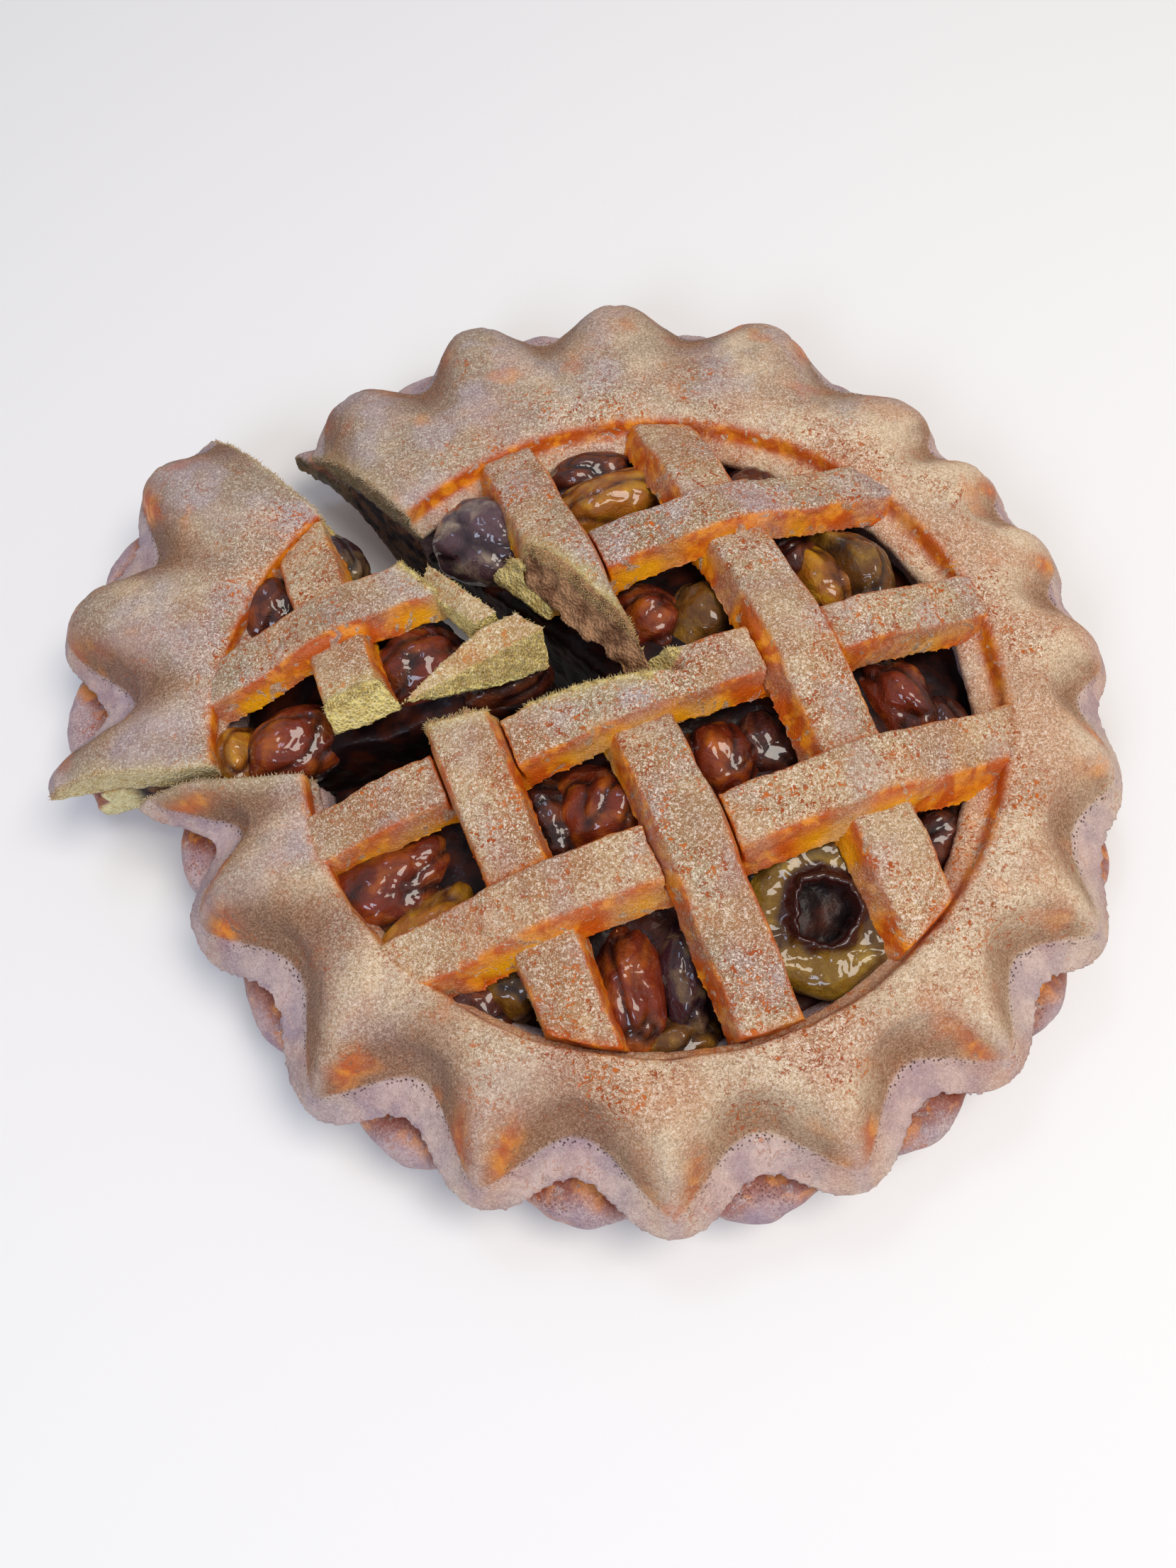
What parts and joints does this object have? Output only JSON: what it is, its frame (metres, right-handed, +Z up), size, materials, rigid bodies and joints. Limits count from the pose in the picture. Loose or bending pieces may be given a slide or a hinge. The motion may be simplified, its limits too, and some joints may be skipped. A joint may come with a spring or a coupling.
{
  "type": "lattice pie",
  "caption": "Round display pie in painted foam, with a crimped crust in layers, a woven lattice over glossy fruit, and a slice eased out of its place.",
  "frame": {"origin": "under the middle of the bounding box, on the plane the pie stands on", "axes": "+Z up; +X from the slice's side of the pie to the opposite rim; the slice is eased out towards -X"},
  "size_m": [0.2858, 0.2744, 0.0654],
  "materials": {
    "upper_crust_foam": "painted open-cell foam, tan with fine orange-brown specks and shading, orange-brown on the creases",
    "lower_crust_foam": "painted open-cell foam, pinkish lilac grey with red-brown in the recesses",
    "strip_foam": "painted open-cell foam, tan tops with orange-brown specks, orange to amber sides, bare yellow-green foam at the cuts",
    "glazed_fruit": "wet-looking varnish over red-brown to olive fruit"
  },
  "bodies": {
    "root": {"bottom_crust": "lower_crust_foam", "slice_bottom_crust": "lower_crust_foam", "upper_crust": "upper_crust_foam", "slice_upper_crust": "upper_crust_foam", "slice_long_strip": "strip_foam", "long_strip_1": "strip_foam", "long_strip_2": "strip_foam", "long_strip_3": "strip_foam", "slice_cross_strip": "strip_foam", "cross_strip_1": "strip_foam", "cross_strip_2": "strip_foam", "cross_strip_3": "strip_foam", "slice_long_sliver": "strip_foam", "slice_cross_sliver": "strip_foam", "fruit_filling": "glazed_fruit", "slice_fruit_filling": "glazed_fruit"}
  },
  "joints": []
}
